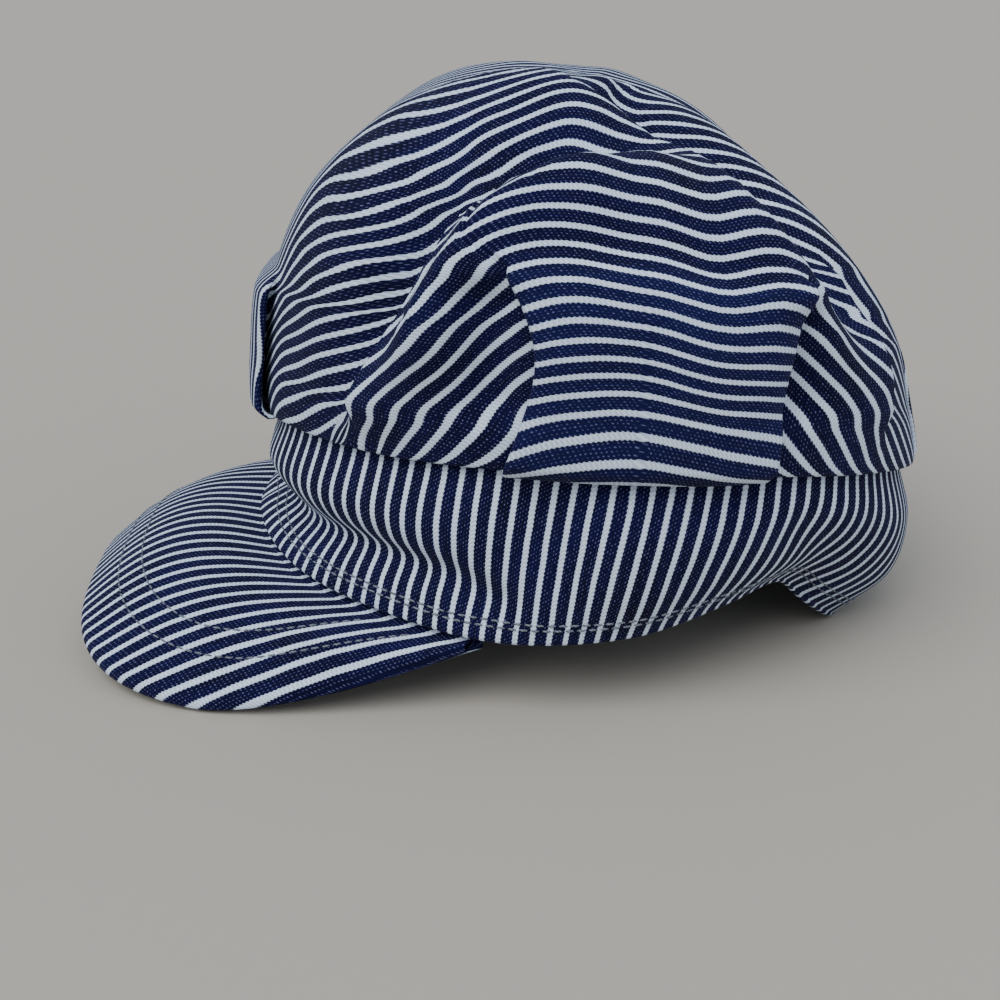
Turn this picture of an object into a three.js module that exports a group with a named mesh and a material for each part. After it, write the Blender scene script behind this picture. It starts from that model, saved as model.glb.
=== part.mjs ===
// A striped denim conductor cap, lying on a surface as it is stored.
// Millimetres, +Z up. The peak points along -X and the wearer's left side faces -Y.
// Angles go round the cap from the front (0) by the wearer's left (90) to the back (180).
import * as THREE from 'three';

// Driving dimensions
const DISC_RADIUS = 160;      // the flat disc of cloth that makes the crown
const CROWN_WALL = 2.0;
const BAND_WALL = 2.6;
const PEAK_THICKNESS = 3.2;
const SEAM_GAP = 0.5;         // between the crown's rim and the band's top edge
const CROWN_TOP = 154;        // height of the middle of the crown
const SEAM_TUCK = 3.8;        // how far the crown's rim reaches in over the band's top edge
const LIP_OUT = 3.0;          // how far the crown's lowest edge stands out past the band
const LIP_RISE = 0.9;         // how far that edge lies above the seam
const SEAM_INSET = 1.0;       // how far the band's top edge lies inside the crown's seam

// The crown's shape at rest, one row for each section round the cap. Each pair of columns is the
// radius and the height where the cloth lies at one distance from the middle of the disc: seam is on
// the band, low and belly are the puffed side, shoulder is its top, upper and top are the roof.
const CROWN_SECTIONS = [
  { at: 0, seamR: 91, seamZ: 62, lowR: 94, lowZ: 78, bellyR: 90, bellyZ: 103,
    shoulderR: 77, shoulderZ: 128, upperR: 53, upperZ: 147, topR: 26, topZ: 155 },
  { at: 22, seamR: 91, seamZ: 66, lowR: 93, lowZ: 82, bellyR: 90, bellyZ: 106,
    shoulderR: 79, shoulderZ: 131, upperR: 57, upperZ: 149, topR: 28, topZ: 156 },
  { at: 45, seamR: 88, seamZ: 66.5, lowR: 94, lowZ: 83, bellyR: 94, bellyZ: 108,
    shoulderR: 83, shoulderZ: 133, upperR: 60, upperZ: 151, topR: 29, topZ: 157 },
  { at: 68, seamR: 86, seamZ: 67, lowR: 91, lowZ: 84, bellyR: 92, bellyZ: 110,
    shoulderR: 80, shoulderZ: 136, upperR: 53, upperZ: 147, topR: 27, topZ: 155 },
  { at: 90, seamR: 86, seamZ: 66, lowR: 91, lowZ: 84, bellyR: 91, bellyZ: 110,
    shoulderR: 78, shoulderZ: 137, upperR: 49, upperZ: 142, topR: 25, topZ: 154 },
  { at: 101, seamR: 87, seamZ: 65, lowR: 91.5, lowZ: 82, bellyR: 91.5, bellyZ: 105.5,
    shoulderR: 79, shoulderZ: 129, upperR: 51, upperZ: 140, topR: 26, topZ: 152 },
  { at: 112, seamR: 88, seamZ: 64, lowR: 92, lowZ: 81, bellyR: 92, bellyZ: 105,
    shoulderR: 78, shoulderZ: 127, upperR: 52, upperZ: 139, topR: 28, topZ: 151 },
  { at: 135, seamR: 91, seamZ: 58, lowR: 93, lowZ: 75, bellyR: 91, bellyZ: 96,
    shoulderR: 78, shoulderZ: 115, upperR: 55, upperZ: 133, topR: 29, topZ: 148 },
  { at: 158, seamR: 92, seamZ: 50, lowR: 92, lowZ: 66, bellyR: 87, bellyZ: 85,
    shoulderR: 73, shoulderZ: 105, upperR: 53, upperZ: 124, topR: 29, topZ: 144 },
  { at: 180, seamR: 92, seamZ: 42, lowR: 92, lowZ: 60, bellyR: 86, bellyZ: 79,
    shoulderR: 73, shoulderZ: 100, upperR: 54, upperZ: 121, topR: 30, topZ: 142 },
  { at: 202, seamR: 92, seamZ: 49, lowR: 93, lowZ: 66, bellyR: 91, bellyZ: 86,
    shoulderR: 78, shoulderZ: 107, upperR: 57, upperZ: 127, topR: 31, topZ: 146 },
  { at: 225, seamR: 91, seamZ: 57, lowR: 95, lowZ: 74, bellyR: 95, bellyZ: 97,
    shoulderR: 82, shoulderZ: 118, upperR: 58, upperZ: 136, topR: 30, topZ: 150 },
  { at: 248, seamR: 88, seamZ: 63, lowR: 94, lowZ: 80, bellyR: 94, bellyZ: 105,
    shoulderR: 81, shoulderZ: 129, upperR: 55, upperZ: 144, topR: 28, topZ: 154 },
  { at: 270, seamR: 86, seamZ: 65, lowR: 91, lowZ: 83, bellyR: 91, bellyZ: 108,
    shoulderR: 78, shoulderZ: 133, upperR: 52, upperZ: 146, topR: 28, topZ: 155 },
  { at: 292, seamR: 86, seamZ: 66, lowR: 92, lowZ: 84, bellyR: 92, bellyZ: 109,
    shoulderR: 79, shoulderZ: 134, upperR: 55, upperZ: 149, topR: 28, topZ: 156 },
  { at: 315, seamR: 88, seamZ: 66, lowR: 94, lowZ: 83, bellyR: 93, bellyZ: 109,
    shoulderR: 80, shoulderZ: 133, upperR: 57, upperZ: 151, topR: 29, topZ: 157 },
  { at: 338, seamR: 91, seamZ: 65, lowR: 93, lowZ: 81, bellyR: 91, bellyZ: 106,
    shoulderR: 76, shoulderZ: 130, upperR: 53, upperZ: 149, topR: 27, topZ: 156 },
];
// Distance from the middle of the disc, along the cloth, of each pair of columns
const CLOTH_AT = { top: 30, upper: 60, shoulder: 88, belly: 116, low: 142, lip: 153, seam: 157 };

// The four box pleats. opens is the cloth distance where the folded edges come out of the roof,
// halfTop and halfRim are half the panel's width there and at the band, and proud is how far its
// folded edge stands off the cloth beside it.
const BOX_PLEATS = [
  { at: 0, opens: 112, halfTop: 23, halfRim: 23, proud: 4.4 },
  { at: 90, opens: 104, halfTop: 34.5, halfRim: 31, proud: 4.5 },
  { at: 180, opens: 112, halfTop: 21, halfRim: 21, proud: 2.6 },
  { at: 270, opens: 106, halfTop: 35, halfRim: 32, proud: 4.5 },
];
const PLEAT_OPENING = 20;     // length of cloth over which an edge comes to stand out fully

// Large folds. Each follows a path of places, given as the angle and the cloth distance. Its height
// is above the cloth round it, or below it where negative, and width is half its breadth.
const FOLDS = [
  { name: 'crease round the left lobe', width: 8, height: -7,
    path: [[41, 148], [51, 122], [58, 96], [64, 82], [76, 75], [90, 71], [106, 68]] },
  { name: 'edge of the near lobe', width: 9, height: 4,
    path: [[50, 142], [58, 117], [66, 97], [76, 89], [90, 86]] },
  { name: 'hollow before the left pleat', width: 7, height: -5, path: [[66, 110], [67, 148]] },
  { name: 'ridge to the back left', width: 9, height: 5,
    path: [[42, 30], [65, 43], [92, 54], [102, 68], [108, 90], [116, 112], [123, 138]] },
  { name: 'hollow behind the ridge', width: 9, height: -8,
    path: [[80, 26], [96, 38], [108, 50], [115, 66], [121, 90], [128, 112], [134, 136]] },
  { name: 'hollow behind the left pleat', width: 7, height: -5, path: [[113, 112], [115, 146]] },
  { name: 'crease in the front right', width: 10, height: -6,
    path: [[318, 146], [308, 116], [302, 88], [290, 68]] },
  { name: 'hollow before the right pleat', width: 8, height: -4, path: [[294, 112], [293, 148]] },
  { name: 'hollow behind the right pleat', width: 8, height: -4, path: [[247, 112], [245, 148]] },
  { name: 'crease in the back right', width: 10, height: -6,
    path: [[262, 60], [240, 80], [228, 108], [222, 140]] },
  { name: 'dip in the roof', width: 18, height: -4, path: [[196, 44], [214, 78]] },
];
const FOLD_STEPS = 4;         // straight pieces for each leg of a fold's path
const FOLD_FADE = 0.2;        // share of a fold's length over which each end dies out

// The band, one row for each section: its bulge a third of the way down, its waist further down,
// and the hem, whose front part is sewn to the peak and whose back rests on the surface.
const BAND_DOWN = { seam: 0, bulge: 0.34, waist: 0.7, hem: 1 };
const BAND_SECTIONS = [
  { at: 0, bulgeR: 93, waistR: 89, hemR: 98, hemZ: 31 },
  { at: 22, bulgeR: 93, waistR: 89, hemR: 95, hemZ: 26.5 },
  { at: 45, bulgeR: 90, waistR: 88, hemR: 91, hemZ: 24 },
  { at: 68, bulgeR: 88, waistR: 88, hemR: 88, hemZ: 21 },
  { at: 90, bulgeR: 88, waistR: 87, hemR: 83, hemZ: 22 },
  { at: 112, bulgeR: 89.5, waistR: 85.5, hemR: 77, hemZ: 25.5 },
  { at: 128, bulgeR: 91, waistR: 85, hemR: 74, hemZ: 25 },
  { at: 145, bulgeR: 93, waistR: 87, hemR: 74, hemZ: 10 },
  { at: 160, bulgeR: 95, waistR: 91, hemR: 77, hemZ: 0 },
  { at: 180, bulgeR: 96, waistR: 92, hemR: 80, hemZ: 0 },
  { at: 200, bulgeR: 95, waistR: 91, hemR: 78, hemZ: 0 },
  { at: 216, bulgeR: 93, waistR: 87, hemR: 75, hemZ: 9 },
  { at: 234, bulgeR: 91, waistR: 85, hemR: 76, hemZ: 22 },
  { at: 250, bulgeR: 89, waistR: 86, hemR: 79, hemZ: 25 },
  { at: 270, bulgeR: 88, waistR: 87, hemR: 83, hemZ: 26 },
  { at: 292, bulgeR: 88, waistR: 88, hemR: 88, hemZ: 28 },
  { at: 315, bulgeR: 90, waistR: 88, hemR: 91, hemZ: 32 },
  { at: 338, bulgeR: 93, waistR: 89, hemR: 95, hemZ: 34 },
];

// The peak: its outline is a squared round, its corners rest on the surface.
const PEAK = {
  templeX: -42,               // where its two ends meet the band
  tipX: -149,
  halfWidth: 77.5,
  squareness: 3.4,            // 2 would be an ellipse
  cornerX: -111,              // where the outline comes down to the surface
  templeRise: 17,             // heights of the outline's underside
  tipRise: 9,
  sideCurve: 1.5,
  crown: 9,                   // how far the middle of the peak swells between seam and outline
  tuck: 4,                    // how far it reaches in under the band
  mostTuck: 0.9,              // and the largest share of its depth that this may be, at the temples
  under: 0.35,                // how far under the band's hem its top lies
  templeAngle: 64,            // where the two ends lie round the band
};

// Mesh fineness
const PANEL_STEPS = 5;        // across half a box pleat
const CORNER_STEPS = 9;       // between two box pleats
const EDGE_WIDTH = 1.6;       // across a pleat's folded edge
const POLE = 0.01;            // the crown's first row is the middle of the disc
const CROWN_ROWS = [12, 26, 40, 54, 66, 76, 86, 95, 103, 111, 119, 126, 133, 139, 144, 148.5, 152, 154.5,
  CLOTH_AT.seam, DISC_RADIUS];
const LEAST_RING = 60;        // a ring smaller than this has its columns spread as if it were so large
const NORMAL_STEP = 0.5;      // millimetres and degrees between the points that give a direction
const NORMAL_FROM = 2;        // nearer the middle than this, the direction is the one found here
const BAND_COLUMNS = 76;
const BAND_ROWS = [0, 0.16, 0.34, 0.52, 0.68, 0.82, 0.93, 1];
const PEAK_COLUMNS = 36;
const PEAK_ROWS = [0, 0.06, 0.16, 0.34, 0.55, 0.78, 0.93, 1];

const DEGREE = Math.PI / 180;

function mix(from, to, share) {
  return from + (to - from) * share;
}

function smooth(low, high, value) {
  const share = Math.min(1, Math.max(0, (value - low) / (high - low)));
  return share * share * (3 - 2 * share);
}

// A smooth curve through values at uneven places, with the slope at each place taken from its neighbours
function curveThrough(places, values, at) {
  let i = 0;
  while (i < places.length - 2 && at > places[i + 1]) i += 1;
  const slope = (k) => {
    const before = Math.max(0, k - 1);
    const after = Math.min(places.length - 1, k + 1);
    return (values[after] - values[before]) / (places[after] - places[before]);
  };
  const span = places[i + 1] - places[i];
  const t = (at - places[i]) / span;
  const a = (1 + 2 * t) * (1 - t) * (1 - t);
  const b = t * (1 - t) * (1 - t);
  const c = t * t * (3 - 2 * t);
  const d = t * t * (t - 1);
  return a * values[i] + b * span * slope(i) + c * values[i + 1] + d * span * slope(i + 1);
}

// One column of a section table, read at any angle round the cap
function aroundTable(table, column, angle) {
  const turned = ((angle % 360) + 360) % 360;
  const wrapped = [table.at(-2), table.at(-1), ...table, table[0], table[1]];
  const places = wrapped.map((row, k) => row.at + (k < 2 ? -360 : k >= table.length + 2 ? 360 : 0));
  return curveThrough(places, wrapped.map((row) => row[column]), turned);
}

function onRing(angle, radius, height) {
  return new THREE.Vector3(-radius * Math.cos(angle * DEGREE), -radius * Math.sin(angle * DEGREE), height);
}

// The crown without its pleats and folds, at an angle and a distance along the cloth from the middle
function crownBase(angle, cloth) {
  const read = (column) => aroundTable(CROWN_SECTIONS, column, angle);
  const seamR = read('seamR');
  const seamZ = read('seamZ') + SEAM_GAP;
  const places = [0, CLOTH_AT.top, CLOTH_AT.upper, CLOTH_AT.shoulder, CLOTH_AT.belly, CLOTH_AT.low,
    CLOTH_AT.lip, CLOTH_AT.seam, DISC_RADIUS];
  const radii = [0, read('topR'), read('upperR'), read('shoulderR'), read('bellyR'), read('lowR'),
    seamR + LIP_OUT, seamR, seamR - SEAM_TUCK];
  const heights = [CROWN_TOP, read('topZ'), read('upperZ'), read('shoulderZ'), read('bellyZ'), read('lowZ'),
    seamZ + LIP_RISE, seamZ, seamZ];
  return onRing(angle, curveThrough(places, radii, cloth), curveThrough(places, heights, cloth));
}

function crownNormal(angle, cloth) {
  const near = Math.max(cloth, NORMAL_FROM);
  const along = crownBase(angle, near + NORMAL_STEP).sub(crownBase(angle, near - NORMAL_STEP));
  const across = crownBase(angle + NORMAL_STEP, near).sub(crownBase(angle - NORMAL_STEP, near));
  return along.cross(across).normalize();
}

function pleatHalfWidth(pleat, cloth) {
  return mix(pleat.halfTop, pleat.halfRim, smooth(pleat.opens, DISC_RADIUS, cloth));
}

// The angle of a pleat's folded edge, measured from the pleat's middle
function pleatEdge(pleat, cloth) {
  const level = Math.max(cloth, pleat.opens);
  const middle = crownBase(pleat.at, level);
  return Math.asin(pleatHalfWidth(pleat, level) / Math.hypot(middle.x, middle.y)) / DEGREE;
}

// Each fold's path, as points on the cloth
const foldPaths = FOLDS.map((fold) => {
  const points = [];
  for (let leg = 0; leg < fold.path.length - 1; leg += 1) {
    const [from, to] = [fold.path[leg], fold.path[leg + 1]];
    for (let k = leg === 0 ? 0 : 1; k <= FOLD_STEPS; k += 1) {
      points.push(crownBase(mix(from[0], to[0], k / FOLD_STEPS), mix(from[1], to[1], k / FOLD_STEPS)));
    }
  }
  return points;
});

function nearestOnPath(place, points) {
  const nearest = new THREE.Vector3();
  let least = Infinity;
  let share = 0;
  for (let k = 0; k < points.length - 1; k += 1) {
    new THREE.Line3(points[k], points[k + 1]).closestPointToPoint(place, true, nearest);
    const away = nearest.distanceTo(place);
    if (away < least) {
      least = away;
      share = (k + nearest.distanceTo(points[k]) / points[k + 1].distanceTo(points[k])) / (points.length - 1);
    }
  }
  return { away: least, share };
}

// How far the cloth stands out from crownBase: the pleat's panel, proud of its neighbours, and the folds
function crownRelief(angle, cloth, place) {
  const radius = Math.hypot(place.x, place.y);
  let relief = 0;
  for (const pleat of BOX_PLEATS) {
    const turned = ((angle - pleat.at + 540) % 360) - 180;
    const inside = (pleatEdge(pleat, cloth) - Math.abs(turned)) * DEGREE * radius;
    const comesOut = smooth(pleat.opens, pleat.opens + PLEAT_OPENING, cloth);
    const open = comesOut * (1 - smooth(CLOTH_AT.lip, DISC_RADIUS, cloth));
    relief += pleat.proud * open * smooth(-EDGE_WIDTH / 2, EDGE_WIDTH / 2, inside);
  }
  FOLDS.forEach((fold, k) => {
    const { away, share } = nearestOnPath(place, foldPaths[k]);
    const ends = smooth(0, FOLD_FADE, share) * smooth(0, FOLD_FADE, 1 - share);
    const nearBand = smooth(CLOTH_AT.low, CLOTH_AT.seam, cloth);
    relief += fold.height * Math.exp(-((away / fold.width) ** 2)) * ends * (1 - nearBand);
  });
  return relief;
}

// The angles of the crown's columns: close together at each folded edge, even elsewhere
function crownColumns(cloth) {
  const angles = [];
  BOX_PLEATS.forEach((pleat, k) => {
    const next = BOX_PLEATS[(k + 1) % BOX_PLEATS.length];
    const half = pleatEdge(pleat, cloth);
    const middle = crownBase(pleat.at, cloth);
    const edge = EDGE_WIDTH / 2 / Math.max(LEAST_RING, Math.hypot(middle.x, middle.y)) / DEGREE;
    for (let i = -PANEL_STEPS; i <= PANEL_STEPS; i += 1) {
      angles.push(pleat.at + ((half - edge) * i) / PANEL_STEPS);
    }
    const from = pleat.at + half + edge;
    const to = pleat.at + 90 - pleatEdge(next, cloth) - edge;
    for (let i = 0; i <= CORNER_STEPS; i += 1) {
      angles.push(mix(from, to, i / CORNER_STEPS));
    }
  });
  return angles;
}

// Near the band the relief goes level, so that no fold is pushed down into the band
function reliefDirection(normal, cloth) {
  const level = smooth(CLOTH_AT.belly, CLOTH_AT.low, cloth);
  return new THREE.Vector3(normal.x, normal.y, normal.z * (1 - level)).normalize();
}

function crownSurface(depth) {
  return [POLE, ...CROWN_ROWS].map((cloth) => crownColumns(cloth).map((angle) => {
    const place = crownBase(angle, cloth);
    const normal = crownNormal(angle, cloth);
    const relief = crownRelief(angle, cloth, place);
    return place.addScaledVector(reliefDirection(normal, cloth), relief).addScaledVector(normal, -depth);
  }));
}

function bandSurface(depth) {
  return BAND_ROWS.map((share) => {
    const row = [];
    for (let i = 0; i < BAND_COLUMNS; i += 1) {
      const angle = (360 * i) / BAND_COLUMNS;
      const read = (column) => aroundTable(BAND_SECTIONS, column, angle);
      const topR = aroundTable(CROWN_SECTIONS, 'seamR', angle) - SEAM_INSET;
      const topZ = aroundTable(CROWN_SECTIONS, 'seamZ', angle);
      const radii = [topR, read('bulgeR'), read('waistR'), read('hemR')];
      const radius = curveThrough(Object.values(BAND_DOWN), radii, share);
      row.push(onRing(angle, radius - depth, mix(topZ, Math.max(0, read('hemZ')), share)));
    }
    return row;
  });
}

// The peak's outline at a share from one temple (-1) by the tip (0) to the other (1)
function peakOutline(share) {
  const turn = share * 90 * DEGREE;
  const power = 2 / PEAK.squareness;
  const x = PEAK.templeX + (PEAK.tipX - PEAK.templeX) * Math.abs(Math.cos(turn)) ** power;
  const y = PEAK.halfWidth * Math.sign(turn) * Math.abs(Math.sin(turn)) ** power;
  const back = Math.max(0, (x - PEAK.cornerX) / (PEAK.templeX - PEAK.cornerX));
  const front = x < PEAK.cornerX ? 1 - (y / peakHalfWidthAt(PEAK.cornerX)) ** 2 : 0;
  const rise = PEAK.templeRise * back ** PEAK.sideCurve + PEAK.tipRise * Math.max(0, front);
  return new THREE.Vector3(x, y, rise + PEAK_THICKNESS);
}

function peakHalfWidthAt(x) {
  const reach = (x - PEAK.templeX) / (PEAK.tipX - PEAK.templeX);
  return PEAK.halfWidth * (1 - reach ** PEAK.squareness) ** (1 / PEAK.squareness);
}

function peakSurface(depth) {
  return PEAK_ROWS.map((out) => {
    const row = [];
    for (let i = 0; i <= PEAK_COLUMNS; i += 1) {
      const share = (2 * i) / PEAK_COLUMNS - 1;
      const angle = share * PEAK.templeAngle;
      const hemR = aroundTable(BAND_SECTIONS, 'hemR', angle);
      const hemZ = aroundTable(BAND_SECTIONS, 'hemZ', angle) - PEAK.under;
      const seam = onRing(angle, hemR - PEAK.tuck, hemZ);
      const outline = peakOutline(-Math.sin(angle * DEGREE) / Math.sin(PEAK.templeAngle * DEGREE));
      const hidden = Math.min(PEAK.mostTuck, PEAK.tuck / seam.distanceTo(outline));
      const shown = Math.max(0, (out - hidden) / (1 - hidden));
      const place = seam.lerp(outline, out);
      place.z += PEAK.crown * Math.sin(Math.PI * shown) * Math.cos(share * 90 * DEGREE) - depth;
      row.push(place);
    }
    return row;
  });
}

// Joins an outer and an inner sheet of points, row by row, into one closed body. closedAround joins
// each row's end to its start, and pole says that the first row is a single point.
function closedBody(outer, inner, closedAround, pole) {
  const rows = outer.length;
  const columns = outer[0].length;
  const points = [];
  const number = [outer, inner].map((sheet) => sheet.map((row, r) => {
    if (pole && r === 0) {
      points.push(row[0]);
      return row.map(() => points.length - 1);
    }
    return row.map((point) => points.push(point) - 1);
  }));
  const faces = [];
  const addFace = (a, b, c) => {
    if (a !== b && b !== c && a !== c) faces.push(a, b, c);
  };
  // A quad is cut along its shorter diagonal, which follows a fold that runs across the grid
  const addQuad = (a, b, c, d) => {
    const folded = points[a].distanceTo(points[c]) <= points[b].distanceTo(points[d]);
    const [p, q, r, s] = folded ? [a, b, c, d] : [b, c, d, a];
    addFace(p, q, r);
    addFace(p, r, s);
  };
  const last = closedAround ? columns : columns - 1;
  for (let c = 0; c < last; c += 1) {
    const n = (c + 1) % columns;
    for (let r = 0; r < rows - 1; r += 1) {
      addQuad(number[0][r][c], number[0][r + 1][c], number[0][r + 1][n], number[0][r][n]);
      addQuad(number[1][r][c], number[1][r][n], number[1][r + 1][n], number[1][r + 1][c]);
    }
    addQuad(number[0][rows - 1][c], number[1][rows - 1][c], number[1][rows - 1][n], number[0][rows - 1][n]);
    if (!pole) addQuad(number[0][0][c], number[0][0][n], number[1][0][n], number[1][0][c]);
  }
  if (!closedAround) {
    for (let r = 0; r < rows - 1; r += 1) {
      const e = columns - 1;
      addQuad(number[0][r][0], number[1][r][0], number[1][r + 1][0], number[0][r + 1][0]);
      addQuad(number[0][r][e], number[0][r + 1][e], number[1][r + 1][e], number[1][r][e]);
    }
  }
  const geometry = new THREE.BufferGeometry();
  geometry.setAttribute('position', new THREE.Float32BufferAttribute(points.flatMap((p) => p.toArray()), 3));
  geometry.setIndex(faces);
  geometry.computeVertexNormals();
  return geometry;
}

const denim = new THREE.MeshStandardMaterial({ color: '#2a3158', roughness: 0.9, metalness: 0 });

function crown() {
  const mesh = new THREE.Mesh(closedBody(crownSurface(0), crownSurface(CROWN_WALL), true, true), denim);
  mesh.name = 'crown';
  return mesh;
}

function band() {
  const mesh = new THREE.Mesh(closedBody(bandSurface(0), bandSurface(BAND_WALL), true, false), denim);
  mesh.name = 'band';
  return mesh;
}

function peak() {
  const mesh = new THREE.Mesh(closedBody(peakSurface(0), peakSurface(PEAK_THICKNESS), false, false), denim);
  mesh.name = 'peak';
  return mesh;
}

const cap = new THREE.Group();
cap.add(crown(), band(), peak());

// The origin is on the surface, under the middle of the whole cap
const box = new THREE.Box3().setFromObject(cap);
const middle = box.getCenter(new THREE.Vector3());
cap.position.set(-middle.x, -middle.y, -box.min.z);

export default cap;
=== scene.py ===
# %% [markdown]
# Striped denim railway cap
# The cap is a soft thing made of three sewn pieces. A round disc of cloth is folded into four box
# pleats and gathered into a deep band, and a short stiff peak is sewn under the front of the band.
# The solid model gives the sizes. This script dresses it: the same shape, with real folds in the
# cloth, the weave, the stripes and the stitching.

# %% Load the solid model
from math import pi, radians

import bmesh
import bpy
import numpy as np
from mathutils import Matrix, Vector


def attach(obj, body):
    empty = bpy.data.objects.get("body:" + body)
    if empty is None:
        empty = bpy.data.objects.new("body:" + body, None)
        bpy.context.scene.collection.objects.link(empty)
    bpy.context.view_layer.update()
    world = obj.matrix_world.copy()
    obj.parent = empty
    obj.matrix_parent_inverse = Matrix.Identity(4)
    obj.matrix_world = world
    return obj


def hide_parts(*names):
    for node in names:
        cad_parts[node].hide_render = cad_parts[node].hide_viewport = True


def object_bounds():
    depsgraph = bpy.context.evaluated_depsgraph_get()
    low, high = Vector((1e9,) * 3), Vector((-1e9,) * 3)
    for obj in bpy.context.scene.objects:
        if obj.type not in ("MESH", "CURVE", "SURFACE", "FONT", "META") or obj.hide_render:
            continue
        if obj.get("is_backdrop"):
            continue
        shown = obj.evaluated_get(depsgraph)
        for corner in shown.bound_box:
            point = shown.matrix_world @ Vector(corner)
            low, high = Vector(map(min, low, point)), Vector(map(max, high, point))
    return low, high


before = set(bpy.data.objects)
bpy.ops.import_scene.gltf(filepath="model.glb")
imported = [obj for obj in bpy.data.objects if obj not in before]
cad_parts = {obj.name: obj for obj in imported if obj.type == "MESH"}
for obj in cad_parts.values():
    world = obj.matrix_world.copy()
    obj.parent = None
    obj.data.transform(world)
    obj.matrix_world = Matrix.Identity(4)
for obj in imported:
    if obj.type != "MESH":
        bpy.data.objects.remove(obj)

solid_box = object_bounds()
MM = 0.001
print("solid box in mm", [round(c / MM, 1) for corner in solid_box for c in corner])

# %% [markdown]
# Camera
# The photograph looks down on the cap's left side at about 20 degrees, from a bit over 0.4 m away.
# The height of the far side of the band above the near side, and the width of the peak, give the
# place and the lens. A camera's direction is easiest to give as a turn round two axes.

# %% Place the camera
CAMERA_AT = (-35.28, -399.26, 176.0)
CAMERA_DOWN = 20.0
CAMERA_TURN = 5.0
LENS = 50.4
SENSOR = 36.0

camera_data = bpy.data.cameras.new("camera")
camera_data.sensor_width = SENSOR
camera_data.lens = LENS
camera_data.clip_start = 0.01
camera = bpy.data.objects.new("camera", camera_data)
camera.location = Vector(CAMERA_AT) * MM
camera.rotation_euler = (radians(90 - CAMERA_DOWN), 0, radians(-CAMERA_TURN))
bpy.context.collection.objects.link(camera)
bpy.context.scene.camera = camera
print("camera at", tuple(round(c, 3) for c in camera.location))

# %% [markdown]
# Small tools for materials
# A colour picked on a screen is sRGB, but a shader wants linear light, so one function changes it.
# A second function adds a node, sets it up and links it, which keeps a long material readable.


# %% Colour and node helpers
def colour(code):
    """A linear colour with alpha from an sRGB hex code such as 1b2350."""
    parts = [int(code[i : i + 2], 16) / 255 for i in (0, 2, 4)]
    return [c / 12.92 if c <= 0.04045 else ((c + 0.055) / 1.055) ** 2.4 for c in parts] + [1.0]


def add_node(tree, kind, *values, **named):
    """Adds a node. Values go to its inputs in order, and a named one is a setting or an input.

    An input's name is the one that Blender shows, or its number, such as in_6. A value may be a
    socket to link, or a whole node, which stands for its first output.
    """
    node = tree.nodes.new("ShaderNode" + kind)
    inputs = dict(enumerate(values))
    for name, value in named.items():
        if hasattr(node, name):
            setattr(node, name, value)
        elif name.startswith("in_"):
            inputs[int(name[3:])] = value
        else:
            inputs[name.replace("_", " ")] = value
    for place, value in inputs.items():
        if isinstance(value, bpy.types.Node):
            value = value.outputs[0]
        if isinstance(value, bpy.types.NodeSocket):
            tree.links.new(value, node.inputs[place])
        else:
            node.inputs[place].default_value = value
    return node


def new_material(name):
    made = bpy.data.materials.new(name)
    made.use_nodes = True
    made.node_tree.nodes.clear()
    return made, made.node_tree


print("mid grey is", [round(c, 3) for c in colour("808080")])

# %% [markdown]
# Striped denim
# The cloth is cotton denim with a woven stripe, a 3/1 twill. Three of every four cross threads hide
# under the navy warp, and the fourth shows as a pale fleck, so the navy is sprinkled with slanting
# rows of dots. The white stripe is a bundle of bare warp threads that the weave twists like a rope.
# An image would blur close up, so the weave is worked out from the cloth's own coordinates: the UV
# map "cloth" says in metres where each point lay on the flat cloth, with stripes along its U.
# A noise is given by how many of its patches fit in a metre of cloth: 90 makes patches of 11 mm.

# %% Read the cloth's coordinates
YARN_WOBBLES = 90.0
YARN_WOBBLE = 0.5

DENIM, tree = new_material("striped_cotton_denim_twill")
uv = add_node(tree, "UVMap", uv_map="cloth")
flat_place = add_node(tree, "SeparateXYZ", uv)
along = add_node(tree, "Math", flat_place.outputs[0], 1 / MM, operation="MULTIPLY")
across = add_node(tree, "Math", flat_place.outputs[1], 1 / MM, operation="MULTIPLY")

# The yarns aren't straight: a slow wobble bends the stripes a little
wobble = add_node(tree, "TexNoise", uv, noise_dimensions="2D", Scale=YARN_WOBBLES, Detail=2.0)
bend = add_node(tree, "Math", wobble, YARN_WOBBLE, -YARN_WOBBLE / 2, operation="MULTIPLY_ADD")
across = add_node(tree, "Math", across, bend, operation="ADD")
print("the stripes wobble by up to", YARN_WOBBLE / 2, "mm")

# %% Weave the white stripes
STRIPE_PITCH = 4.8
WHITE_WIDTH = 1.48
TWIST_LENGTH = 1.12
TWILL_SLANT = 0.42
FLECK_ROW = 0.72
ROPE_SWELLING = 0.11
EDGE_SOFTNESS = 0.16

# Twill lines cross the cloth at a slant, one for each fleck
slant = add_node(tree, "Math", across, TWILL_SLANT / FLECK_ROW, operation="MULTIPLY")
twist = add_node(tree, "Math", along, 1 / TWIST_LENGTH, slant, operation="MULTIPLY_ADD")
twist = add_node(tree, "Math", twist, 2 * pi, operation="MULTIPLY")
wave = add_node(tree, "Math", twist, operation="COSINE")

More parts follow.
